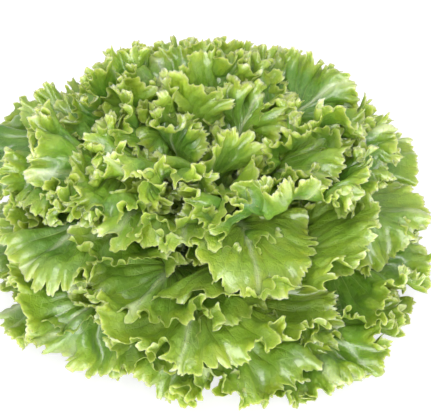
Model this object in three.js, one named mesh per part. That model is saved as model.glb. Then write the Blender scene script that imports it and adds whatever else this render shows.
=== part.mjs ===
// Coral lettuce: one whole cut head of loose, frilled leaves on a short stem.
// Millimetres, +Z up. The origin is the centre of the stem's flat cut face, which stands
// on the surface together with the tips of the lowest leaves.
//
// Every leaf is one thin closed body. A leaf lies on its own surface of revolution about
// the stem: the surfaces nest inside each other, from the wide flat one of the outermost
// leaf to the narrow upright one of the heart, so that no leaf cuts another.

import * as THREE from 'three';

// Head
const LEAF_COUNT = 50;
const HEART_START = 42; // from this leaf inwards the leaves stand further apart
const HEART_SPREAD = 1.5; // by this ratio
const HEAD_RADIUS = 131; // reach of the outermost leaf tips
const HEAD_RISE = 146; // how far the leaf tips climb from the lowest leaf to the crown
const HEART_DIP = 50; // how far the heart leaves stay below that crown
const REACH_CURVE = 0.8; // below 1 the leaves keep reaching out until deep in the head
const CLIMB_CURVE = 1.2; // above 1 the outer leaves stay low before the head climbs
const DIP_CURVE = 5; // above 1 only the innermost leaves dip
const LEAN_AZIMUTH = 175; // degrees, the head leans this way
const LEAN_REACH = 0.05; // share by which the leaves on that side reach further
const LEAN_CLIMB = 5; // and how much higher the leaves half way in stand there
const LOWEST_TIP = -5; // the lowest tips press on the surface and lie flat on it
const GOLDEN_ANGLE = 137.50776; // degrees from one leaf to the next
const FIRST_AZIMUTH = 205; // degrees, direction of the outermost leaf
const EXTRA_WIDTH = 0.07; // the head is this share wider along X than along Y
const EVEN_RADIUS = 20; // within this radius it stays round, about the stem
const WIDE_RADIUS = 60; // and beyond this one it has its whole extra width

// Stem
const STEM_RADIUS = 17;
const STEM_HEIGHT = 54;
const STEM_TAPER_HEIGHT = 58; // height over which the taper below is counted
const STEM_TAPER = 0.9; // share of the radius lost over that height
const STEM_ROWS = 10;
const STEM_SIDES = 28;
const FIRST_LEAF_HEIGHT = 7; // where the outermost leaf leaves the stem
const LAST_LEAF_HEIGHT = 50;
const JOINT_GAP = 0.5; // between a leaf's foot and the stem

// Leaf
const BEND_OUTER = 27; // degrees, half of an outer leaf's outward arch
const BEND_LOSS = 21; // how much straighter the innermost leaf is
const FOOT_HALF_ANGLE = 0.42; // radians of the stem's girth that half a leaf foot takes
const HALF_WIDTH_PER_LENGTH = 0.48;
const WIDEST_HALF_ANGLE = 0.8; // radians about the stem, for the heart leaves
const SHOULDER = 0.62; // height of the leaf's widest place, as a share of its length
const FLARE = 1.3; // above 1 the leaf stays narrow longer before it widens
const FLATTENING = 0.2; // 0 wraps a leaf round the stem's axis, 1 makes it flat across
const BLADE_THICKNESS = 0.8;
const FOOT_THICKNESS_OUTER = 1.6;
const FOOT_THICKNESS_INNER = 0.8;
const RUFFLE_HEIGHT = 2.2; // at the margin of a full-grown leaf
const RUFFLE_WAVES = 2.5; // across a leaf
const HEART_CALM = 0.7; // share of the ruffle that the innermost leaf lacks

// How far single leaves stray from the plan, either way
const DEPTH_SCATTER = 0.25; // leaves
const TURN_SCATTER = 5; // degrees
const LENGTH_SCATTER = 0.04; // share of the length
const WIDTH_SCATTER = 0.08; // share of the width

// The three ages of leaf, from the outside in
const AGES = [
  { name: 'outer_leaf', count: 22, columns: 10, rows: 5, color: 0x86b23e },
  { name: 'middle_leaf', count: 20, columns: 8, rows: 5, color: 0x93bf48 },
  { name: 'heart_leaf', count: 8, columns: 6, rows: 4, color: 0xb4d264 },
];

const radians = THREE.MathUtils.degToRad;
const mix = THREE.MathUtils.lerp;

// An even scatter from -1 to 1: leaf n, and a different sequence for each use.
function scatter(n, use) {
  return 2 * ((n * 0.754877 + use * 0.56984) % 1) - 1;
}

function stemRadiusAt(height) {
  return STEM_RADIUS * (1 - STEM_TAPER * (height / STEM_TAPER_HEIGHT) ** 2);
}

// How deep in the head a leaf grows: 0 for the outermost leaf, 1 at the centre of the heart.
function depthInHead(n) {
  const extra = HEART_SPREAD - 1;
  const place = n + extra * Math.max(0, n - HEART_START);
  return Math.max(0, place) / (LEAF_COUNT + extra * (LEAF_COUNT - HEART_START));
}

// The arc that a leaf's midrib follows, in the plane through the stem's axis.
function midribArc(depth, azimuth) {
  const turn = depth * Math.PI / 2;
  const lean = Math.cos(azimuth - radians(LEAN_AZIMUTH));
  const tipRadius = HEAD_RADIUS * Math.cos(turn) ** REACH_CURVE * (1 + LEAN_REACH * lean);
  const tipHeight = LOWEST_TIP + HEAD_RISE * Math.sin(turn) ** CLIMB_CURVE
    - HEART_DIP * depth ** DIP_CURVE + LEAN_CLIMB * lean * 4 * depth * (1 - depth);
  const footHeight = mix(FIRST_LEAF_HEIGHT, LAST_LEAF_HEIGHT, depth);
  const footRadius = stemRadiusAt(footHeight) + JOINT_GAP + FOOT_THICKNESS_OUTER / 2;
  const chord = Math.hypot(tipRadius - footRadius, tipHeight - footHeight);
  const slope = Math.atan2(tipHeight - footHeight, tipRadius - footRadius);
  const halfBend = radians(BEND_OUTER - BEND_LOSS * depth ** 2);
  return {
    footRadius,
    footHeight,
    length: chord * halfBend / Math.sin(halfBend),
    footSlope: slope + halfBend,
    bend: -2 * halfBend,
  };
}

// Radius, height and slope at a distance along the arc.
function alongArc(arc, distance) {
  const slope = arc.footSlope + arc.bend * distance / arc.length;
  const curveRadius = arc.length / arc.bend;
  return {
    radius: arc.footRadius + curveRadius * (Math.sin(slope) - Math.sin(arc.footSlope)),
    height: arc.footHeight - curveRadius * (Math.cos(slope) - Math.cos(arc.footSlope)),
    slope,
  };
}

// All that sets one leaf apart from the others.
function leafShape(n) {
  const depth = depthInHead(n + DEPTH_SCATTER * scatter(n, 1));
  const azimuth = radians(FIRST_AZIMUTH + n * GOLDEN_ANGLE + TURN_SCATTER * scatter(n, 3));
  const arc = midribArc(depth, azimuth);
  const length = arc.length * (1 + LENGTH_SCATTER * scatter(n, 2));
  return {
    depth,
    arc,
    length,
    azimuth,
    halfWidth: length * HALF_WIDTH_PER_LENGTH * (1 + WIDTH_SCATTER * scatter(n, 4)),
    ruffle: RUFFLE_HEIGHT * (1 - HEART_CALM * depth),
    rufflePhase: Math.PI * scatter(n, 5),
    footThickness: mix(FOOT_THICKNESS_OUTER, FOOT_THICKNESS_INNER, depth),
  };
}

// A point of the leaf. across runs from -1 to 1 between the two edges, along from 0 at the
// foot to 1 at the margin, and side is -0.5 on the inner face and 0.5 on the outer one.
function leafPoint(leaf, across, along, side) {
  const fan = across * Math.PI / 2;
  const distance = along * leaf.length * mix(SHOULDER, 1, Math.cos(fan));
  const place = alongArc(leaf.arc, distance);

  const footHalfWidth = FOOT_HALF_ANGLE * leaf.arc.footRadius;
  const spread = Math.sin(along * Math.PI / 2) ** FLARE;
  const halfWidth = mix(footHalfWidth, leaf.halfWidth, spread);
  const widestAngle = mix(FOOT_HALF_ANGLE, WIDEST_HALF_ANGLE, along);
  const halfAngle = Math.min(halfWidth / place.radius, widestAngle);
  const angle = halfAngle * Math.sin(fan);
  const radius = place.radius * (1 + FLATTENING * (1 / Math.cos(angle) - 1));

  const wave = Math.cos(Math.PI * RUFFLE_WAVES * across + leaf.rufflePhase);
  const thickness = mix(leaf.footThickness, BLADE_THICKNESS, Math.sqrt(along));
  const offset = side * thickness + leaf.ruffle * wave * along ** 3;

  const outward = radius + offset * Math.sin(place.slope);
  const height = place.height - offset * Math.cos(place.slope);
  const restingHeight = side < 0 ? thickness : 0;
  const azimuth = leaf.azimuth + angle;
  const widening = 1 + EXTRA_WIDTH * THREE.MathUtils.smoothstep(outward, EVEN_RADIUS, WIDE_RADIUS);
  return new THREE.Vector3(
    outward * Math.cos(azimuth) * widening,
    outward * Math.sin(azimuth),
    Math.max(height, restingHeight),
  );
}

// A leaf is a flat box bent over its surface: two faces and a rim all round.
function leafGeometry(leaf, columns, rows) {
  const geometry = new THREE.BoxGeometry(2, 1, 1, columns, rows, 1);
  const positions = geometry.attributes.position;
  for (let i = 0; i < positions.count; i += 1) {
    const across = positions.getX(i);
    const along = positions.getY(i) + 0.5;
    const point = leafPoint(leaf, across, along, positions.getZ(i));
    positions.setXYZ(i, point.x, point.y, point.z);
  }
  geometry.computeVertexNormals();
  return geometry;
}

// The stem tapers upwards between the leaves, from its flat cut face to a blunt top.
function stemGeometry() {
  const profile = [new THREE.Vector2(0, 0)];
  for (let row = 0; row <= STEM_ROWS; row += 1) {
    const height = STEM_HEIGHT * row / STEM_ROWS;
    profile.push(new THREE.Vector2(stemRadiusAt(height), height));
  }
  profile.push(new THREE.Vector2(0, STEM_HEIGHT));
  const geometry = new THREE.LatheGeometry(profile, STEM_SIDES);
  geometry.rotateX(Math.PI / 2);
  return geometry;
}

const lettuce = new THREE.Group();

const stem = new THREE.Mesh(
  stemGeometry(),
  new THREE.MeshStandardMaterial({ color: 0xdfe6c4, roughness: 0.5, metalness: 0 }),
);
stem.name = 'stem';
lettuce.add(stem);

let leafNumber = 0;
for (const age of AGES) {
  const material = new THREE.MeshStandardMaterial({
    color: age.color,
    roughness: 0.45,
    metalness: 0,
  });
  for (let i = 1; i <= age.count; i += 1) {
    const geometry = leafGeometry(leafShape(leafNumber), age.columns, age.rows);
    const leaf = new THREE.Mesh(geometry, material);
    leaf.name = `${age.name}_${String(i).padStart(2, '0')}`;
    lettuce.add(leaf);
    leafNumber += 1;
  }
}

export default lettuce;
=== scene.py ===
# Coral lettuce: frilled leaves round a short stem, as one cut head
import bpy
import math

import numpy as np
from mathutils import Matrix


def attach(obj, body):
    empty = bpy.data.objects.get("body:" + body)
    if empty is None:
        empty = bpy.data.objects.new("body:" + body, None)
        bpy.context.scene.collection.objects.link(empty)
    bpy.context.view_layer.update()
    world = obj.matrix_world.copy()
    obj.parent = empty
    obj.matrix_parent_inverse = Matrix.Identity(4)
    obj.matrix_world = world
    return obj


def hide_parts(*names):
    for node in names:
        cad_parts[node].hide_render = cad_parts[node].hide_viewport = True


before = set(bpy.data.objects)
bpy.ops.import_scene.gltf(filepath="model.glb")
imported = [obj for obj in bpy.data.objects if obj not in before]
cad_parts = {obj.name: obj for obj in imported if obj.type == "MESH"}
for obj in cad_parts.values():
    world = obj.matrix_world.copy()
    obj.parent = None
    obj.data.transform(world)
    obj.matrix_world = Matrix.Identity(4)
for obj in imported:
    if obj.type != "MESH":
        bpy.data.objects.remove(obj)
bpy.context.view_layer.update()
scene = bpy.context.scene


def mix(a, b, t):
    return a + (b - a) * t


def smooth(low, high, value):
    t = np.clip((value - low) / (high - low), 0, 1)
    return t * t * (3 - 2 * t)


def unit(vectors):
    return vectors / np.maximum(np.linalg.norm(vectors, axis=-1, keepdims=True), 1e-12)


def wander(rng, places, period):  # a smooth random line, about -1 to 1
    total = np.zeros_like(places)
    for share in (1.0, 0.62, 0.41):
        start = rng.uniform(0, 2 * math.pi)
        total += share * np.sin(2 * math.pi * places / (period * (0.45 + share)) + start)
    return total / 1.6


def drift(rng, x, y, period):  # a smooth random field over the flat leaf, about -1 to 1
    total = np.zeros_like(x)
    for share in (1.0, 0.8, 0.6, 0.45):
        start, heading = rng.uniform(0, 2 * math.pi, 2)
        across = x * math.cos(heading) + y * math.sin(heading)
        total += share * np.sin(2 * math.pi * across / (period * (0.5 + share)) + start)
    return total / 1.9


# how many leaves of each age, from the outermost inwards
leafAges = {"outer_leaf": 22, "middle_leaf": 20, "heart_leaf": 8}
leafNames = [f"{age}_{i:02d}" for age, count in leafAges.items() for i in range(1, count + 1)]

# where each leaf grows, how far it reaches and how it arches, in metres unless a note says else
headPlan = {
    "heartStart": 42,  # from this leaf inwards the leaves stand further apart
    "heartSpread": 1.5,  # so many times as far apart
    "headRadius": 0.131,  # reach of the outermost tips
    "headRise": 0.146,  # climb of the tips from the lowest leaf to the crown
    "reachRound": 0.8,  # powers that make the dome's side steeper or flatter
    "riseRound": 1.2,
    "heartDip": 0.050,  # how far the heart stays below the crown
    "dipRound": 5,  # a higher power keeps the dip nearer the middle
    "lowestTip": -0.005,
    "goldenAngle": 137.50776,  # degrees from one leaf to the next
    "firstAzimuth": 205,  # degrees
    "stemRadius": 0.017,
    "stemTaper": 0.9,  # share of the radius lost by stemTaperHeight
    "stemTaperHeight": 0.058,
    "firstLeafHeight": 0.007,
    "lastLeafHeight": 0.050,
    "footStandOff": 0.0015,
    "bendOuter": 27,  # degrees, half of an outer leaf's arch
    "bendLoss": 21,  # degrees less at the middle of the heart
    "footHalfAngle": 0.42,  # radians of the stem that half a leaf's foot takes up
    "halfWidthPerLength": 0.54,
    "outerHalfAngle": 0.95,  # radians round the head that half a leaf may take up
    "heartHalfAngle": 1.25,
    "shoulder": 0.62,  # where a leaf is widest, as a share of its length
    "flare": 1.3,  # higher keeps a leaf narrow for longer
    "flattening": 0.2,  # how much the blade's sides open out of their round
    "leanAzimuth": 175,  # degrees: the head leans this way
    "leanReach": 0.05,  # share of reach
    "leanClimb": 0.005,
    "extraWidth": 0.07,  # share by which the head is wider along X than along Y
    "evenRadius": 0.020,  # the widening starts here
    "wideRadius": 0.060,  # and is full from here out
}

# how the leaves differ from one another: usual value, spread either side, number of the scatter
leafHabit = {
    "place": (0, 0.25, 1),  # in leaves
    "length": (1, 0.07, 2),  # times the arc's own length
    "azimuth": (0, 5, 3),  # degrees
    "width": (1, 0.15, 4),  # times the usual width
    "flop": (-10, 40, 6),  # degrees by which the tip rolls up, or down where negative
    "roll": (0, 14, 7),  # degrees about the leaf's own length
    "pitch": (0, 7, 8),  # degrees up or down about the foot
    "cup": (0, 0.014, 9),  # metres by which both sides drop, or rise where negative
    "tint": (0.14, 0.14, 10),  # how far the green leans to the frills' own
    "frill": (0.95, 0.3, 11),  # times the height of the waves
}

# steps from leaf to leaf and from use to use, which spread the values evenly
scatterSteps = (0.754877, 0.56984)

# leaves that grew out of line: turn in degrees round the stem, reach and width in shares more,
# climb in metres, arch in degrees more, sides in metres by which the left and the right half
# drop, seen from outside, and frill, flop and tint as in leafHabit
leafQuirks = {
    "outer_leaf_01": {"reach": 0.02},
    "outer_leaf_02": {"reach": -0.09},
    "outer_leaf_04": {"turn": 6, "reach": 0.015, "width": 0.10},
    "outer_leaf_07": {"turn": -8, "reach": 0.02},
    "outer_leaf_09": {"reach": 0.06},
    "outer_leaf_10": {"reach": 0.03},
    "outer_leaf_11": {"reach": 0.05, "climb": 0.010},
    "outer_leaf_12": {"turn": -11, "reach": 0.06, "width": 0.15, "frill": 0.75, "tint": 0.5},
    "outer_leaf_15": {"reach": 0.03},
    "outer_leaf_18": {"climb": 0.005},
    "outer_leaf_19": {"reach": 0.08, "climb": 0.026},
    "outer_leaf_20": {
        "turn": -1, "reach": 0.04, "width": 0.22, "frill": 0.45, "tint": 0.4, "sides": (0.030, -0.012),
    },
    "middle_leaf_01": {"reach": 0.02, "width": 0.08, "frill": 0.6, "tint": 0.3},
    "middle_leaf_02": {"climb": -0.004},
    "middle_leaf_03": {"turn": -13, "reach": -0.14},
    "middle_leaf_04": {"reach": 0.08, "climb": 0.006},
    "middle_leaf_05": {"climb": 0.008},
    "middle_leaf_06": {"turn": -6, "reach": 0.03, "climb": 0.009, "width": 0.15},
    "middle_leaf_07": {"climb": 0.004},
    "middle_leaf_09": {"climb": 0.006},
    "middle_leaf_10": {"climb": -0.006},
    "middle_leaf_11": {
        "turn": -7, "reach": 0.28, "climb": -0.030, "width": -0.36,
        "arch": 22, "flop": -40, "frill": 0.4, "tint": 0.4,
    },
    "middle_leaf_14": {"turn": -12, "reach": 0.06, "arch": 6, "flop": -35, "frill": 0.6, "tint": 0.3},
    "middle_leaf_16": {
        "turn": 3, "reach": 0.20, "climb": -0.010, "width": -0.08,
        "arch": 4, "flop": -40, "frill": 0.55, "tint": 0.4,
    },
    "middle_leaf_17": {"reach": 0.07, "climb": 0.007},
    "middle_leaf_18": {"climb": -0.018},
    "middle_leaf_19": {"reach": 0.28, "climb": -0.021, "width": 0.15, "frill": 0.8},
    "middle_leaf_20": {"reach": 0.04, "climb": 0.003},
    "heart_leaf_03": {"climb": -0.006},
    "heart_leaf_04": {"turn": -11, "reach": 0.14, "width": 0.2},
}


def habit(n, name):
    usual, spread, use = leafHabit[name]
    perLeaf, perUse = scatterSteps
    return usual + spread * (2 * ((n * perLeaf + use * perUse) % 1) - 1)


def stemRadiusAt(height):
    share = height / headPlan["stemTaperHeight"]
    return headPlan["stemRadius"] * (1 - headPlan["stemTaper"] * share ** 2)


def placeInHead(n):  # 0 for the outermost leaf, 1 at the middle of the heart
    spread = headPlan["heartSpread"] - 1
    start, count = headPlan["heartStart"], len(leafNames)
    return max(0, n + spread * max(0, n - start)) / (count + spread * (count - start))


def planLeaf(n):
    head = headPlan
    quirk = leafQuirks.get(leafNames[n], {})
    depth = placeInHead(n + habit(n, "place"))
    azimuth = head["firstAzimuth"] + n * head["goldenAngle"] + habit(n, "azimuth") + quirk.get("turn", 0)
    lean = math.cos(math.radians(azimuth - head["leanAzimuth"]))
    dome = depth * math.pi / 2
    tipRadius = head["headRadius"] * math.cos(dome) ** head["reachRound"] * (1 + head["leanReach"] * lean)
    tipRadius *= 1 + quirk.get("reach", 0)
    tipHeight = head["lowestTip"] + head["headRise"] * math.sin(dome) ** head["riseRound"]
    tipHeight -= head["heartDip"] * depth ** head["dipRound"]
    halfWayUp = 4 * depth * (1 - depth)  # 1 half way to the heart, 0 at both ends
    tipHeight += head["leanClimb"] * lean * halfWayUp + quirk.get("climb", 0)
    footHeight = mix(head["firstLeafHeight"], head["lastLeafHeight"], depth)
    footRadius = stemRadiusAt(footHeight) + head["footStandOff"]
    chord = math.hypot(tipRadius - footRadius, tipHeight - footHeight)
    slope = math.atan2(tipHeight - footHeight, tipRadius - footRadius)
    halfBend = math.radians(head["bendOuter"] - head["bendLoss"] * depth ** 2 + quirk.get("arch", 0))
    arcLength = chord * halfBend / math.sin(halfBend)
    length = arcLength * habit(n, "length")
    width = habit(n, "width") + quirk.get("width", 0)
    return {
        "number": n,
        "depth": depth,
        "footRadius": footRadius,
        "footHeight": footHeight,
        "footSlope": slope + halfBend,
        "arcLength": arcLength,
        "bend": -2 * halfBend,
        "length": length,
        "azimuth": math.radians(azimuth),
        "halfWidth": length * head["halfWidthPerLength"] * width,
        "frill": quirk.get("frill", habit(n, "frill")),
        "tint": habit(n, "tint") + quirk.get("tint", 0),
        "tipRoll": math.radians(quirk.get("flop", habit(n, "flop"))),
        "roll": math.radians(habit(n, "roll")),
        "pitch": math.radians(habit(n, "pitch")),
        "cup": habit(n, "cup"),
        "sides": quirk.get("sides", (0, 0)),
    }


# rows from the midrib (0) out to the margin (1): each band uses every so-many-th column,
# so that the mesh is fine only at the margin
rowBands = [
    (16, [0.0, 0.04, 0.10, 0.18, 0.27, 0.36, 0.46]),
    (8, [0.55, 0.62, 0.685, 0.745]),
    (4, [0.80, 0.845, 0.885, 0.922]),
    (2, [0.955, 0.98]),
    (1, [1.0]),
]
rowPlaces = [place for _, places in rowBands for place in places]
rowStrides = [stride for stride, places in rowBands for _ in places]

# lengths are in metres, shares are of the leaf's length or of the way from midrib to margin
leafLook = {
    "seed": 1000,
    "usualLength": 0.115,  # a leaf of this length has its swells, puckers and rib at full size
    "columnStep": 0.00071,  # along the frilled margin, in the finished mesh
    "draftStep": 0.00055,  # along the flat margin, while the waves are laid on
    "draftStretch": 1.9,  # how much closer the draft columns stand where the margin is frilly
    "midribReach": 0.66,  # where the midrib ends, as a share of the length
    "veinSweep": 0.9,  # how the side veins fan out from the midrib
    "tipRollFrom": (0.55, 1.05),  # the tip rolls between these shares of the length
    "frillFrom": (0.12, 0.60),  # the margin grows frilly between these shares of the length
    "freeFrom": (0, 0.5),  # the blade is free to wave between these shares of the way out
    # waves of the margin, each riding on the one before: crest to crest, height in the outermost
    # leaf and in the heart, how far in from the margin they run and how fast they fade
    "waves": [
        {"length": 0.048, "height": (0.0085, 0.0085), "reach": 0.040, "fade": 1.6},
        {"length": 0.0235, "height": (0.0060, 0.0060), "reach": 0.026, "fade": 1.6},
        {"length": 0.0115, "height": (0.0024, 0.0027), "reach": 0.0090, "fade": 1.2},
        {"length": 0.0066, "height": (0.0007, 0.0011), "reach": 0.0045, "fade": 1.0},
    ],
    # how unevenly each wave runs: radians or share of height, and over how many wavelengths
    "waveAlong": (1.5, 2.6),
    "waveAcross": (1.3, 1.1),
    "waveRise": (0.6, 3.5),
    "waveRiseUsual": 0.8,
    "waveRiseLimits": (0.2, 1.5),
    "waveLean": -0.21,  # how far the crests swell sideways, as a share of their height
    "waveEvening": 0.16,  # share of a wave over which its directions are averaged
    "smallLeafWave": 0.25,  # share of the waves' height that the smallest leaf keeps
    "toothHeight": 0.0023,
    "toothWidth": (0.0020, 0.0040),
    "toothPeak": (0.35, 0.75),  # where in a tooth its point stands
    "toothRange": (0.35, 1.15),  # share of the height that a tooth has
    "toothReach": 0.0022,
    "lobeLength": 0.0145,
    "lobeHeight": 0.0060,
    "lobeReach": 0.010,
    "lobeRound": 0.8,  # lower gives flatter lobes with narrower notches
    "lobeLevel": 0.6,  # share of a lobe that lies inside the leaf's own outline
    "lobeUnrest": (1.6, 0.06),  # radians, and over what length
    "edgeUnrest": (0.8, 0.5, 0.05),  # usual share of height, spread, and over what length
    "swellHeight": 0.0065,  # slow swell of the whole blade
    "swellLength": 0.11,
    "turnHeight": 0.0095,  # how far the margin turns up or down
    "turnBias": 0.55,  # towards turning up
    "turnLength": 0.08,
    "turnReach": 0.022,
    "bulgeHeight": 0.0022,  # soft swellings of the blade
    "bulgeSize": 0.024,
    "bulgeFrom": (0.02, 0.3),
    "veinSpacing": 0.011,  # from one side vein to the next, along the flat margin
    "puckerHeight": 0.0015,  # the blade puckers between its side veins
    "puckerFrom": (0.02, 0.2),
    "puckerTo": (0.75, 1),
    "bladeThickness": 0.0005,
    "ribThickness": 0.0034,
    "ribUnder": 0.2,  # share of the midrib's thickness that stands out below, the rest above
    "ribWidth": (0.0052, 0.0013),  # at the foot and at the end
    "ribSmall": 1.2,  # how soon the rib narrows in small leaves
    "ribNarrowBy": 0.75,  # shares of the length
    "ribFlatBy": 0.78,
    "ribRound": 1.3,
    "ribPale": (0.55, 0.45),  # everywhere, and more where the rib is tall
    "footPaleAndLight": 0.6,  # the whole blade is pale near its foot, as real bases are, spread further up and made stronger as painted light that lightens the shaded hollows
    "footPaleAndLightTo": (0.05, 0.55),
    "edgeTaper": 0.0014,  # the skin thins to nothing towards margin and foot
    "footTaper": 0.004,
    "crinkleFrom": (0.03, 0.25),
    "crinkleHeight": (0.001, 0.006),  # no crinkles where the leaf rests on the table
    "lowest": 0.0009,
    "restHeight": 0.007,  # below this the leaf flattens towards the table
}


def leafOutline(plan):  # half the leaf's flat edge, from the tip down to the foot
    steps = 400
    shoulder = headPlan["shoulder"] * plan["length"]
    fan = np.linspace(0, math.pi / 2, steps)
    topX = plan["halfWidth"] * np.sin(fan)
    topY = shoulder + (plan["length"] - shoulder) * np.cos(fan)
    sideY = np.linspace(1, 0, steps)[1:] * shoulder
    return np.concatenate([topX, flatHalfWidth(plan, sideY)]), np.concatenate([topY, sideY])


def flatHalfWidth(plan, y):
    shoulder = headPlan["shoulder"] * plan["length"]
    along = np.clip(y / shoulder, 0, 1)
    footHalfWidth = headPlan["footHalfAngle"] * plan["footRadius"]
    return mix(footHalfWidth, plan["halfWidth"], np.sin(along * math.pi / 2) ** headPlan["flare"])


def arcTable(plan):  # radius and height along the midrib, with the tip's own roll
    distance = np.linspace(0, plan["length"] * 1.15, 500)  # a little past the tip
    slope = plan["footSlope"] + plan["bend"] * distance / plan["arcLength"]
    slope = slope + plan["tipRoll"] * smooth(*leafLook["tipRollFrom"], distance / plan["length"])
    step = np.diff(distance)
    middle = (slope[1:] + slope[:-1]) / 2
    radius = plan["footRadius"] + np.concatenate([[0], np.cumsum(np.cos(middle) * step)])
    height = plan["footHeight"] + np.concatenate([[0], np.cumsum(np.sin(middle) * step)])
    return distance, radius, height


def turnAbout(points, origin, axis, angle):
    axis = np.array(axis) / np.linalg.norm(axis)
    away = points - origin
    along = (away @ axis)[..., None] * axis
    return origin + along + (away - along) * math.cos(angle) + np.cross(axis, away) * math.sin(angle)


def layOnHead(plan, x, y):  # flat leaf to its curved place in the head
    distance, radii, heights = arcTable(plan)
    radius = np.interp(y, distance, radii)
    height = np.interp(y, distance, heights)
    widest = mix(headPlan["outerHalfAngle"], headPlan["heartHalfAngle"], plan["depth"] ** 2)
    widest = mix(headPlan["footHalfAngle"], widest, np.clip(y / plan["length"], 0, 1))
    squeeze = np.minimum(1, widest * radius / flatHalfWidth(plan, y))
    angle = x * squeeze / radius
    reach = radius * (1 + headPlan["flattening"] * (1 / np.cos(angle) - 1))
    azimuth = plan["azimuth"] + angle
    widening = 1 + headPlan["extraWidth"] * smooth(headPlan["evenRadius"], headPlan["wideRadius"], reach)
    points = np.stack([reach * np.cos(azimuth) * widening, reach * np.sin(azimuth), height], axis=-1)
    east, north = math.cos(plan["azimuth"]), math.sin(plan["azimuth"])
    foot = np.array([plan["footRadius"] * east, plan["footRadius"] * north, plan["footHeight"]])
    rise = plan["footSlope"] + plan["bend"] / 2
    outward = (math.cos(rise) * east, math.cos(rise) * north, math.sin(rise))
    points = turnAbout(points, foot, outward, plan["roll"])
    return turnAbout(points, foot, (north, -east, 0), plan["pitch"])


def evened(values, width):  # each row averaged over a few columns either side
    weights = np.hanning(2 * width + 3)[1:-1]  # without the window's zero ends
    padded = np.pad(values, ((0, 0), (width, width), (0, 0)), mode="edge")
    columns = values.shape[1]
    return sum(w * padded[:, i:i + columns] for i, w in enumerate(weights / weights.sum()))


def gridDirections(points, width=1):  # along the margin, outwards and normal, for a whole grid
    alongMargin = evened(np.gradient(points, axis=1), width)
    outwards = evened(unit(np.gradient(points, axis=0)), width)
    normal = unit(evened(np.cross(alongMargin, outwards), width))
    return unit(alongMargin), unit(outwards), normal


def marginLength(points):  # distance along the last row, from the tip both ways
    steps = np.linalg.norm(np.diff(points[-1], axis=0), axis=-1)
    length = np.concatenate([[0], np.cumsum(steps)])
    return length - length[len(length) // 2]


def flatLeaf(plan):  # a draft grid over the leaf laid flat, from the midrib out to the margin
    look, length = leafLook, plan["length"]
    edgeX, edgeY = leafOutline(plan)
    steps = np.hypot(np.diff(edgeX), np.diff(edgeY))
    frilliness = smooth(*look["frillFrom"], edgeY / length)
    stretch = 1 + look["draftStretch"] * (frilliness[1:] + frilliness[:-1]) / 2
    weighed = np.concatenate([[0], np.cumsum(steps * stretch)])
    wanted = np.linspace(0, weighed[-1], round(weighed[-1] / look["draftStep"]) + 1)
    halfX = np.interp(wanted, weighed, edgeX)
    halfY = np.interp(wanted, weighed, edgeY)
    halfAlong = np.interp(wanted, weighed, np.concatenate([[0], np.cumsum(steps)]))
    marginX = np.concatenate([-halfX[:0:-1], halfX])
    marginY = np.concatenate([halfY[:0:-1], halfY])
    along = np.concatenate([-halfAlong[:0:-1], halfAlong])

    ribY = look["midribReach"] * length * (1 - np.abs(along) / along[-1]) ** look["veinSweep"]
    t = np.array(rowPlaces)[:, None]
    return {
        "t": t,
        "x": t * marginX,
        "y": ribY + t * (marginY - ribY),
        "along": along,
        "fromEdge": (1 - t) * np.hypot(marginX, marginY - ribY),
        "frilly": smooth(*look["frillFrom"], marginY / length),
        "size": length / look["usualLength"],
    }


def bladeSwell(rng, plan, flat):  # the blade's slow swell, its sides' drop and its turned margin
    look = leafLook
    t, x, size = flat["t"], flat["x"], flat["size"]
    swell = wander(rng, flat["along"], look["swellLength"]) * smooth(0, 1, t) * look["swellHeight"] * size
    cup = (plan["cup"] * size + np.where(x < 0, *plan["sides"])) * (x / plan["halfWidth"]) ** 2
    turn = look["turnHeight"] * (wander(rng, flat["along"], look["turnLength"]) - look["turnBias"])
    turnFade = np.clip(1 - flat["fromEdge"] / look["turnReach"], 0, 1) ** 2
    turn = turn * turnFade * smooth(*look["freeFrom"], t)
    bulge = drift(rng, x, flat["y"], look["bulgeSize"]) * look["bulgeHeight"] * size
    return (swell + bulge * smooth(*look["bulgeFrom"], t) + cup + turn) * flat["frilly"]


def wavedMargin(rng, plan, wave, flat, points):  # one wave of the margin, in and out of the sheet
    look = leafLook
    real = marginLength(points)
    amount, span = look["waveAlong"]
    phase = 2 * math.pi * real / wave["length"] + amount * wander(rng, real, span * wave["length"])
    phase = phase + rng.uniform(0, 2 * math.pi)
    amount, span = look["waveAcross"]
    phase = phase + amount * drift(rng, flat["x"], flat["y"], span * wave["length"])
    amount, span = look["waveRise"]
    height = look["waveRiseUsual"] + amount * wander(rng, real, span * wave["length"])
    height = np.clip(height, *look["waveRiseLimits"]) * mix(*wave["height"], plan["depth"])
    height = height * plan["frill"] * min(1, look["smallLeafWave"] + flat["size"])
    height = height * np.clip(1 - flat["fromEdge"] / wave["reach"], 0, 1) ** wave["fade"]
    height = height * smooth(*look["freeFrom"], flat["t"]) * flat["frilly"]
    columnsPerWave = wave["length"] * len(real) / (real[-1] - real[0])
    alongMargin, _, normal = gridDirections(points, max(1, round(look["waveEvening"] * columnsPerWave)))
    rise = np.sin(phase) * height
    lean = np.sin(2 * phase) * height * look["waveLean"]
    return points + normal * rise[..., None] + alongMargin * lean[..., None]


def toothLine(rng, real):  # the saw edge: how far each tooth stands out
    places, heights = [real[0]], [0]
    while places[-1] < real[-1]:
        width = rng.uniform(*leafLook["toothWidth"])
        places += [places[-1] + width * rng.uniform(*leafLook["toothPeak"]), places[-1] + width]
        heights += [rng.uniform(*leafLook["toothRange"]), 0]
    return np.interp(real, places, heights)


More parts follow.
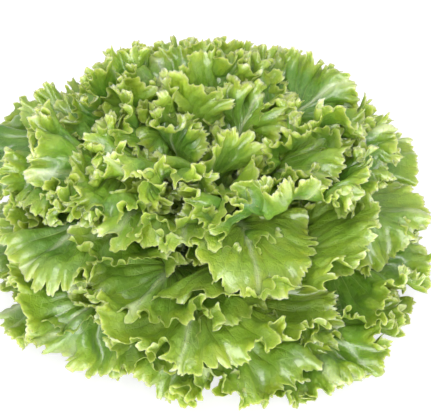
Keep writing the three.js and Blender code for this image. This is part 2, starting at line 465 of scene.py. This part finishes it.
def marginPush(rng, flat, real):  # how far teeth and lobes push the margin out or in
    look = leafLook

    def uneven():
        usual, spread, span = look["edgeUnrest"]
        return usual + spread * wander(rng, real, span)

    teeth = toothLine(rng, real) * look["toothHeight"] * uneven()
    amount, span = look["lobeUnrest"]
    phase = math.pi * real / look["lobeLength"] + amount * wander(rng, real, span)
    lobes = np.abs(np.sin(phase)) ** look["lobeRound"] - look["lobeLevel"]
    lobes = lobes * look["lobeHeight"] * uneven()
    teeth = teeth * np.clip(1 - flat["fromEdge"] / look["toothReach"], 0, 1)
    lobes = lobes * np.clip(1 - flat["fromEdge"] / look["lobeReach"], 0, 1)
    return (teeth + lobes) * flat["frilly"]


def sideVeins(flat):  # counts the side veins along the margin, from the tip both ways
    return flat["along"] / (leafLook["veinSpacing"] * flat["size"])


def puckers(flat):
    look, t = leafLook, flat["t"]
    shape = np.abs(np.sin(math.pi * sideVeins(flat)))
    shape = shape * smooth(*look["puckerFrom"], t) * (1 - smooth(*look["puckerTo"], t))
    return shape * look["puckerHeight"] * flat["size"]


def keptOffTable(height):  # what would reach below the table bends along it instead
    rest = leafLook["restHeight"]
    band = rest - leafLook["lowest"]
    return np.maximum(height, rest) + band * (np.exp(np.minimum(height - rest, 0) / band) - 1)


def skinFields(plan, flat, points):  # what the skin tree and the paint read at each point
    look, t, y, size = leafLook, flat["t"], flat["y"], flat["size"]
    up = y / plan["length"]
    narrowing = np.clip(up / look["ribNarrowBy"], 0, 1)
    ribWidth = mix(*look["ribWidth"], narrowing) * min(1, look["ribSmall"] * size)
    rib = np.exp(-(flat["x"] / ribWidth) ** 2)
    ribTall = np.clip(1 - up / look["ribFlatBy"], 0, 1) ** look["ribRound"]
    ribHeight = look["ribThickness"] * rib * ribTall * size
    half = look["bladeThickness"] / 2
    taper = smooth(0, look["edgeTaper"], flat["fromEdge"]) * smooth(0, look["footTaper"], y)
    everywhere, whereTall = look["ribPale"]
    # pale foot: partly the leaf's own pale base, partly painted light lifting the shade in the hollows
    footPaleAndLight = look["footPaleAndLight"] * (1 - smooth(*look["footPaleAndLightTo"], up))
    return {
        "under": (half + look["ribUnder"] * ribHeight) * taper,
        "upper": (half + (1 - look["ribUnder"]) * ribHeight) * taper,
        "fromEdge": flat["fromEdge"],
        "pale": np.clip(rib * (everywhere + whereTall * ribTall) + footPaleAndLight, 0, 1),
        "veinPlace": sideVeins(flat),
        "fromRib": t,
        "crinkle": smooth(*look["crinkleFrom"], t) * smooth(*look["crinkleHeight"], points[..., 2]),
        "tint": np.array(plan["tint"]),
    }


def thinned(real):  # draft columns to keep, evenly spaced along the margin, alike on both halves
    middle = len(real) // 2
    half = (real[middle:] - real[middle::-1]) / 2
    coarsest = rowStrides[0]
    count = coarsest * round(half[-1] / leafLook["columnStep"] / coarsest)
    places = np.interp(np.linspace(0, half[-1], count + 1), half, np.arange(middle, len(real)))
    return np.concatenate([2 * middle - places[:0:-1], places])


def picked(values, places):  # a grid's values at fractional columns
    low = np.minimum(places.astype(int), values.shape[1] - 2)
    share = (places - low).reshape((1, -1) + (1,) * (values.ndim - 2))
    return mix(values[:, low], values[:, low + 1], share)


def shapeLeaf(plan):
    rng = np.random.default_rng(leafLook["seed"] + plan["number"])
    flat = flatLeaf(plan)
    points = layOnHead(plan, flat["x"], flat["y"])
    _, _, normal = gridDirections(points)
    points = points + normal * bladeSwell(rng, plan, flat)[..., None]
    for wave in leafLook["waves"]:
        points = wavedMargin(rng, plan, wave, flat, points)
    _, outwards, normal = gridDirections(points)
    points = points + outwards * marginPush(rng, flat, marginLength(points))[..., None]
    points = points - normal * puckers(flat)[..., None]
    points[..., 2] = keptOffTable(points[..., 2])
    places = thinned(marginLength(points))
    grid = flat["x"].shape
    fields = skinFields(plan, flat, points)
    fields = {name: picked(np.broadcast_to(values, grid), places) for name, values in fields.items()}
    return picked(points, places), fields


def sheetFaces(columns):  # which grid points are used, and the faces between them
    ids = -np.ones((len(rowStrides), columns), dtype=int)
    order = []
    for row, stride in enumerate(rowStrides):
        for column in range(0, columns, stride):
            mirror = columns - 1 - column
            if row == 0 and column > mirror:
                ids[row, column] = ids[row, mirror]  # both halves share the midrib
            else:
                ids[row, column] = len(order)
                order.append((row, column))
    faces = []
    for row, (wide, narrow) in enumerate(zip(rowStrides, rowStrides[1:])):
        for column in range(0, columns - 1, wide):
            near, nearNext = ids[row, column], ids[row, column + wide]
            far, farNext = ids[row + 1, column], ids[row + 1, column + wide]
            if wide == narrow:
                faces.append((near, nearNext, farNext, far) if near != nearNext else (near, farNext, far))
            else:
                middle = ids[row + 1, column + narrow]
                faces += [(near, nearNext, middle), (near, middle, far), (nearNext, farNext, middle)]
    return np.array(order), faces


def sheetMesh(points, fields):
    order, faces = sheetFaces(points.shape[1])
    rows, columns = order[:, 0], order[:, 1]
    mesh = bpy.data.meshes.new("sheet")
    mesh.from_pydata(points[rows, columns].tolist(), [], faces)
    for name, values in fields.items():
        attribute = mesh.attributes.new(name, "FLOAT", "POINT")
        attribute.data.foreach_set("value", values[rows, columns].astype(np.float32))
    mesh.update()
    return mesh


class Value:  # a node's output that can be added, subtracted and multiplied
    def __init__(self, nodes, socket):
        self.nodes = nodes
        self.socket = socket

    def maths(self, operation, first, second):
        return self.nodes.add("ShaderNodeMath", {"operation": operation}, {0: first, 1: second})

    def __add__(self, other):
        return self.maths("ADD", self, other)

    def __radd__(self, other):
        return self.maths("ADD", other, self)

    def __sub__(self, other):
        return self.maths("SUBTRACT", self, other)

    def __rsub__(self, other):
        return self.maths("SUBTRACT", other, self)

    def __mul__(self, other):
        return self.maths("MULTIPLY", self, other)

    def __rmul__(self, other):
        return self.maths("MULTIPLY", other, self)


class NodeTree:  # a new node's sockets are linked to the Values given, or set to plain values
    def __init__(self, tree):
        self.tree = tree
        self.tree.nodes.clear()

    def add(self, kind, settings=None, values=None, output=0):
        node = self.tree.nodes.new(kind)
        for key, value in (settings or {}).items():
            setattr(node, key, value)
        for key, value in (values or {}).items():
            if isinstance(value, Value):
                self.tree.links.new(value.socket, node.inputs[key])
            else:
                node.inputs[key].default_value = value
        return Value(self, node.outputs[output]) if len(node.outputs) else None


class Shader(NodeTree):
    def __init__(self, name):
        self.material = bpy.data.materials.new(name)
        self.material.use_nodes = True
        super().__init__(self.material.node_tree)

    def field(self, name):
        return self.add("ShaderNodeAttribute", {"attribute_name": name}, output="Fac")

    def blend(self, factor, first, second):
        return self.add("ShaderNodeMix", {"data_type": "RGBA"}, {0: factor, 6: first, 7: second}, output=2)

    def ramp(self, value, low, high):
        return self.add(
            "ShaderNodeMapRange",
            {"interpolation_type": "SMOOTHSTEP"},
            {"Value": value, "From Min": low, "From Max": high},
        )

    def noise(self, where, scale, detail):
        return self.add("ShaderNodeTexNoise", {}, {"Vector": where, "Scale": scale, "Detail": detail})


skinLook = {
    "Crinkle Height": 0.0009,
    "Crinkle Scale": 190.0,
    "Blister Height": 0.0022,
    "Blister Scale": 85.0,
}
crinkleDetail = 1.5
blisterDetail = 0.5
mergeDistance = 0.00001  # the two faces meet at the margin
sharpAngle = 2.0  # radians: edges that bend more than this stay crisp


def makeSkinTree():  # crinkles a sheet and gives it two faces, closed along the margin
    tree = bpy.data.node_groups.new("leafSkin", "GeometryNodeTree")
    nodes = NodeTree(tree)
    tree.interface.new_socket("Geometry", in_out="INPUT", socket_type="NodeSocketGeometry")
    sockets = {}
    for name in (*skinLook, "Seed"):
        sockets[name] = tree.interface.new_socket(name, in_out="INPUT", socket_type="NodeSocketFloat")
    sockets["Material"] = tree.interface.new_socket(
        "Material", in_out="INPUT", socket_type="NodeSocketMaterial"
    )
    tree.interface.new_socket("Geometry", in_out="OUTPUT", socket_type="NodeSocketGeometry")
    normal = nodes.add("GeometryNodeInputNormal")
    position = nodes.add("GeometryNodeInputPosition")

    def given(name):
        return nodes.add("NodeGroupInput", output=name)

    def field(name):
        return nodes.add(
            "GeometryNodeInputNamedAttribute", {"data_type": "FLOAT"}, {"Name": name}, output="Attribute"
        )

    def bumps(kind, detail):
        noise = nodes.add(
            "ShaderNodeTexNoise",
            {"noise_dimensions": "4D"},
            {"Vector": position, "W": given("Seed"), "Scale": given(f"{kind} Scale"), "Detail": detail},
        )
        return (noise - 0.5) * (given(f"{kind} Height") * 2.0)  # the noise lies about 0.5

    def pushed(geometry, amount):
        offset = nodes.add("ShaderNodeVectorMath", {"operation": "SCALE"}, {0: normal, "Scale": amount})
        return nodes.add("GeometryNodeSetPosition", {}, {"Geometry": geometry, "Offset": offset})

    wobble = bumps("Crinkle", crinkleDetail) + bumps("Blister", blisterDetail)
    sheet = pushed(given("Geometry"), wobble * field("crinkle"))
    # the sheet's own faces look down, so the upper side is pushed the other way and flipped
    under = pushed(sheet, field("under"))
    upper = nodes.add("GeometryNodeFlipFaces", {}, {"Mesh": pushed(sheet, field("upper") * -1.0)})
    joined = nodes.add("GeometryNodeJoinGeometry", {}, {0: under})
    tree.links.new(upper.socket, joined.socket.node.inputs[0])
    closed = nodes.add("GeometryNodeMergeByDistance", {}, {"Geometry": joined, "Distance": mergeDistance})
    rounded = nodes.add(
        "GeometryNodeSetShadeSmooth", {"domain": "FACE"}, {"Geometry": closed, "Shade Smooth": True}
    )
    angle = nodes.add("GeometryNodeInputMeshEdgeAngle", output="Unsigned Angle")
    sharp = nodes.add("FunctionNodeCompare", {"operation": "GREATER_THAN"}, {"A": angle, "B": sharpAngle})
    creased = nodes.add(
        "GeometryNodeSetShadeSmooth",
        {"domain": "EDGE"},
        {"Geometry": rounded, "Selection": sharp, "Shade Smooth": False},
    )
    real = nodes.add("GeometryNodeRealizeInstances", {}, {"Geometry": creased})
    painted = nodes.add("GeometryNodeSetMaterial", {}, {"Geometry": real, "Material": given("Material")})
    nodes.add("NodeGroupOutput", {}, {0: painted})
    return tree, {name: socket.identifier for name, socket in sockets.items()}


def paint(red, green, blue):  # display colour 0-255 to a shader colour
    def linear(c):
        c /= 255
        return c / 12.92 if c <= 0.04045 else ((c + 0.055) / 1.055) ** 2.4
    return (linear(red), linear(green), linear(blue), 1)


# frillZone is how far in from the margin the frills' colour reaches, in metres. The margin colour is the
# edge's own paler tone with painted light in it: the bright line that the thin edge shows where light
# comes through
leafPaint = {
    "outer_leaf": {
        "deep": paint(82, 133, 44),
        "fresh": paint(123, 165, 50),
        "frill": paint(157, 182, 64),
        "yolk": paint(178, 192, 58),
        "rim": paint(204, 220, 130),
        "pale": paint(226, 236, 196),
        "vein": paint(184, 208, 118),
        "roughness": 0.36,
        "frillZone": 0.015,
    },
    "middle_leaf": {
        "deep": paint(90, 144, 47),
        "fresh": paint(131, 174, 55),
        "frill": paint(160, 185, 66),
        "yolk": paint(182, 195, 58),
        "rim": paint(207, 223, 131),
        "pale": paint(230, 238, 198),
        "vein": paint(192, 214, 122),
        "roughness": 0.38,
        "frillZone": 0.0125,
    },
    "heart_leaf": {
        "deep": paint(96, 150, 48),
        "fresh": paint(146, 188, 60),
        "frill": paint(185, 207, 82),
        "yolk": paint(198, 209, 75),
        "rim": paint(221, 236, 146),
        "pale": paint(234, 240, 204),
        "vein": paint(206, 222, 134),
        "roughness": 0.4,
        "frillZone": 0.010,
    },
}

# patterns are (scale, detail), zones are (low, high)
leafFinish = {
    "cloud": (28, 3.0),  # broad patches of deep and fresh green
    "cloudZone": (0.35, 0.68),
    "blotch": (95, 2.0),  # yellow blotches in the frills
    "blotchZone": (0.48, 0.66),
    "blotchShare": 0.7,
    "speck": (420, 2.0),
    "crumple": (150, 3.0),
    "flute": (1.0, 2.0),  # fine folds that follow the side veins
    "fluteStretch": (2.2, 6.0, 2.0),  # along the margin, out from the rib, and by cloud
    "veinBend": (60, 1.0),
    "veinBendAmount": 0.25,
    "veinSpread": (0.4, 1.2),  # the veins thin on their way out
    "veinWidth": 0.07,
    "veinFrom": (0.0, 0.05),
    "veinTo": (0.5, 0.95),
    "veinShare": (0.7, 0.45),  # at the midrib, and how much less at the margin
    "netScale": 230,
    "netWidth": 0.12,
    "netShare": 0.12,
    "frillShare": 0.85,
    "rimGlow": (0.0, 0.0035),  # metres in from the margin: a painted glow for the light that the thin margin lets through
    "rimGlowShare": 0.3,
    # the thin bright line along the margin: the edge's own paler tone plus painted light
    "rim": (0.0002, 0.0013),
    "rimShare": 0.9,
    "brightness": (0.86, 0.13, 0.17),  # plain, more on specks, more on clouds
    "saturation": 1.02,
    "roughSpeck": 0.1,
    "relief": {"vein": -0.5, "netting": -0.15, "speck": 0.15, "crumple": 1.9, "flutes": 1.2},
    "reliefStrength": 0.8,
    "reliefHeight": 0.0012,
    "specular": 0.6,
    "lightDepth": 0.0012,  # how far light creeps through the leaf, and in which colours
    "lightColours": (1.0, 1.0, 0.4),
    "coatRoughness": 0.28,  # the waxy sheen
    "coatIor": 2.0,
}


def leafVeins(s, where, veinPlace, fromRib):  # side veins run from the midrib to the margin
    finish = leafFinish
    bend = s.noise(where, *finish["veinBend"]) - 0.5
    bent = veinPlace + bend * finish["veinBendAmount"]
    wave = s.add("ShaderNodeMath", {"operation": "PINGPONG"}, {0: bent, 1: 0.5})
    near, more = finish["veinSpread"]
    line = 1 - s.ramp(wave * (near + fromRib * more), 0.0, finish["veinWidth"])
    return line * (1 - s.ramp(fromRib, *finish["veinTo"])) * s.ramp(fromRib, *finish["veinFrom"])


def makeLeafMaterial(age):
    colours, finish = leafPaint[age], leafFinish
    s = Shader(age)
    where = s.add("ShaderNodeTexCoord", output="Object")
    fromEdge = s.field("fromEdge")
    fromRib = s.field("fromRib")
    veinPlace = s.field("veinPlace")
    cloud = s.noise(where, *finish["cloud"])
    speck = s.noise(where, *finish["speck"])
    blotch = s.noise(where, *finish["blotch"])
    crumple = s.noise(where, *finish["crumple"])

    vein = leafVeins(s, where, veinPlace, fromRib)
    along, out, across = finish["fluteStretch"]
    onLeaf = s.add(
        "ShaderNodeCombineXYZ",
        {},
        {"X": veinPlace * along, "Y": fromRib * out, "Z": cloud * across},
    )
    flutes = s.noise(onLeaf, *finish["flute"])
    cells = s.add(
        "ShaderNodeTexVoronoi",
        {"feature": "DISTANCE_TO_EDGE"},
        {"Vector": where, "Scale": finish["netScale"]},
    )
    netting = 1 - s.ramp(cells, 0.0, finish["netWidth"])

    def nearEdge(low, high):
        return 1 - s.ramp(fromEdge, low, high)

    yellow = s.ramp(blotch, *finish["blotchZone"]) * finish["blotchShare"]
    frill = s.blend(yellow, colours["frill"], colours["yolk"])
    green = s.blend(s.ramp(cloud, *finish["cloudZone"]), colours["deep"], colours["fresh"])
    atRib, less = finish["veinShare"]
    green = s.blend(vein * (atRib - fromRib * less), green, colours["vein"])
    green = s.blend(netting * finish["netShare"], green, colours["vein"])
    green = s.blend(s.field("tint"), green, frill)
    green = s.blend(nearEdge(0.0, colours["frillZone"]) * finish["frillShare"], green, frill)
    # towards the margin the colour is lightened: the edge's own paler tone plus painted light for what the
    # thin edge lets through
    green = s.blend(nearEdge(*finish["rimGlow"]) * finish["rimGlowShare"], green, colours["rim"])
    green = s.blend(nearEdge(*finish["rim"]) * finish["rimShare"], green, colours["rim"])
    # pale rib and foot; the foot's paleness is partly painted light in the shaded hollows
    green = s.blend(s.field("pale"), green, colours["pale"])
    plain, onSpecks, onClouds = finish["brightness"]
    tone = s.add(
        "ShaderNodeHueSaturation",
        {},
        {
            "Saturation": finish["saturation"],
            "Value": plain + speck * onSpecks + cloud * onClouds,
            "Color": green,
        },
    )

    relief = finish["relief"]
    height = vein * relief["vein"] + netting * relief["netting"] + speck * relief["speck"]
    height = height + crumple * relief["crumple"] + flutes * relief["flutes"]
    bump = s.add(
        "ShaderNodeBump",
        {},
        {"Height": height, "Strength": finish["reliefStrength"], "Distance": finish["reliefHeight"]},
    )
    skin = s.add(
        "ShaderNodeBsdfPrincipled",
        {"subsurface_method": "RANDOM_WALK"},
        {
            "Base Color": tone,
            "Roughness": colours["roughness"] + speck * finish["roughSpeck"],
            "Normal": bump,
            "Specular IOR Level": finish["specular"],
            "Subsurface Weight": 1.0,
            "Subsurface Radius": finish["lightColours"],
            "Subsurface Scale": finish["lightDepth"],
            "Coat Weight": 1.0,
            "Coat Roughness": finish["coatRoughness"],
            "Coat IOR": finish["coatIor"],
        },
    )
    s.add("ShaderNodeOutputMaterial", {}, {"Surface": skin})
    return s.material


stemPaint = {
    "shade": paint(214, 224, 170),
    "light": paint(236, 240, 214),
    "grain": (90, 4.0),
    "grainZone": (0.3, 0.7),
    "roughness": (0.4, 0.2),  # plain, and more on the grain
    "reliefStrength": 0.3,
    "reliefHeight": 0.001,
}


def makeStemMaterial():
    s = Shader("stem")
    where = s.add("ShaderNodeTexCoord", output="Object")
    grain = s.noise(where, *stemPaint["grain"])
    tone = s.blend(s.ramp(grain, *stemPaint["grainZone"]), stemPaint["shade"], stemPaint["light"])
    bump = s.add(
        "ShaderNodeBump",
        {},
        {"Height": grain, "Strength": stemPaint["reliefStrength"], "Distance": stemPaint["reliefHeight"]},
    )
    plain, onGrain = stemPaint["roughness"]
    skin = s.add(
        "ShaderNodeBsdfPrincipled",
        {},
        {"Base Color": tone, "Roughness": plain + grain * onGrain, "Normal": bump},
    )
    s.add("ShaderNodeOutputMaterial", {}, {"Surface": skin})
    return s.material


def skinnedMesh(sheetData, inputs):  # the skin tree's result on a sheet, as a plain mesh
    sheet = bpy.data.objects.new("sheet", sheetData)
    scene.collection.objects.link(sheet)
    skin = sheet.modifiers.new("skin", "NODES")
    skin.node_group = skinTree
    for name, value in inputs.items():
        skin[skinSockets[name]] = value
    evaluated = sheet.evaluated_get(bpy.context.evaluated_depsgraph_get())
    mesh = bpy.data.meshes.new_from_object(evaluated)
    bpy.data.objects.remove(sheet)
    return mesh


def makeLeaf(number, age):
    node = leafNames[number]
    points, fields = shapeLeaf(planLeaf(number))
    inputs = {**skinLook, "Seed": float(number), "Material": leafMaterials[age]}
    mesh = skinnedMesh(sheetMesh(points, fields), inputs)
    piece = bpy.data.objects.new(f"frilled_{node}", mesh)
    scene.collection.objects.link(piece)
    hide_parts(node)
    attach(piece, "root")
    return sum(len(face.vertices) - 2 for face in mesh.polygons)


skinTree, skinSockets = makeSkinTree()
leafMaterials = {age: makeLeafMaterial(age) for age in leafAges}
number = 0
triangles = 0
for age, count in leafAges.items():
    for _ in range(count):
        triangles += makeLeaf(number, age)
        number += 1
    print(f"{age}: {count} leaves made, {triangles} triangles so far")

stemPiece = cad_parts["stem"]
stemPiece.data.materials.clear()
stemPiece.data.materials.append(makeStemMaterial())
print("stem painted")


studio = {
    "elevation": 42,  # degrees that the camera looks down
    "aim": (0.0, 0.0, 0.040),
    "distance": 0.745,
    "lens": 100,
    "background": 1.0,  # what the camera sees
    "world": 0.91,  # what lights the head
    "worldGloss": 0.28,  # what its gloss mirrors
    "keyPower": 2.55,
    "keyPlace": (-0.30, -0.45, 1.10),
    "keySize": 0.5,
    "fillPower": 17.4,
    "fillPlace": (0.05, -1.35, 0.66),
    "fillSize": 1.40,
    "floorSide": 12,
    "floorColour": (0.98, 0.98, 0.98, 1),
    "floorGlow": 1.2,
    "floorGlowShare": 0.6,  # the rest of the floor takes the shadow
}
white = (1, 1, 1, 1)


def pointAt(thing, target):
    direction = [t - p for t, p in zip(target, thing.location)]
    flat = math.hypot(direction[0], direction[1])
    thing.rotation_euler = (
        math.atan2(flat, -direction[2]),
        0,
        math.atan2(-direction[0], direction[1]),
    )


def makeFloor():
    s = Shader("paleFloor")
    ground = s.add("ShaderNodeBsdfDiffuse", {}, {"Color": studio["floorColour"]})
    glow = s.add("ShaderNodeEmission", {}, {"Color": white, "Strength": studio["floorGlow"]})
    seen = s.add("ShaderNodeLightPath", output="Is Camera Ray")
    both = s.add("ShaderNodeMixShader", {}, {0: seen * studio["floorGlowShare"], 1: ground, 2: glow})
    s.add("ShaderNodeOutputMaterial", {}, {"Surface": both})
    mesh = bpy.data.meshes.new("floor")
    half = studio["floorSide"] / 2
    corners = [(-half, -half, 0), (half, -half, 0), (half, half, 0), (-half, half, 0)]
    mesh.from_pydata(corners, [], [(0, 1, 2, 3)])
    mesh.materials.append(s.material)
    floor = bpy.data.objects.new("floor", mesh)
    scene.collection.objects.link(floor)


def makeWorld():
    world = bpy.data.worlds.new("studio")
    scene.world = world
    world.use_nodes = True
    nodes = NodeTree(world.node_tree)
    mirrored = nodes.add("ShaderNodeLightPath", output="Is Glossy Ray")
    seen = nodes.add("ShaderNodeLightPath", output="Is Camera Ray")
    light = nodes.add("ShaderNodeMix", {}, {0: mirrored, 2: studio["world"], 3: studio["worldGloss"]})
    strength = nodes.add("ShaderNodeMix", {}, {0: seen, 2: light, 3: studio["background"]})
    sky = nodes.add("ShaderNodeBackground", {}, {"Color": white, "Strength": strength})
    nodes.add("ShaderNodeOutputWorld", {}, {"Surface": sky})


def makeLights():
    for name in ("key", "fill"):
        lamp = bpy.data.lights.new(name, "AREA")
        lamp.energy = studio[name + "Power"]
        lamp.size = studio[name + "Size"]
        light = bpy.data.objects.new(name, lamp)
        light.location = studio[name + "Place"]
        pointAt(light, studio["aim"])
        scene.collection.objects.link(light)


def makeCamera():
    camera = bpy.data.objects.new("camera", bpy.data.cameras.new("camera"))
    camera.data.lens = studio["lens"]
    tilt = math.radians(studio["elevation"])
    aim = studio["aim"]
    camera.location = (
        aim[0],
        aim[1] - studio["distance"] * math.cos(tilt),
        aim[2] + studio["distance"] * math.sin(tilt),
    )
    pointAt(camera, aim)
    scene.collection.objects.link(camera)
    scene.camera = camera


makeFloor()
makeWorld()
makeLights()
makeCamera()
scene.view_settings.view_transform = "Standard"
print("studio ready")
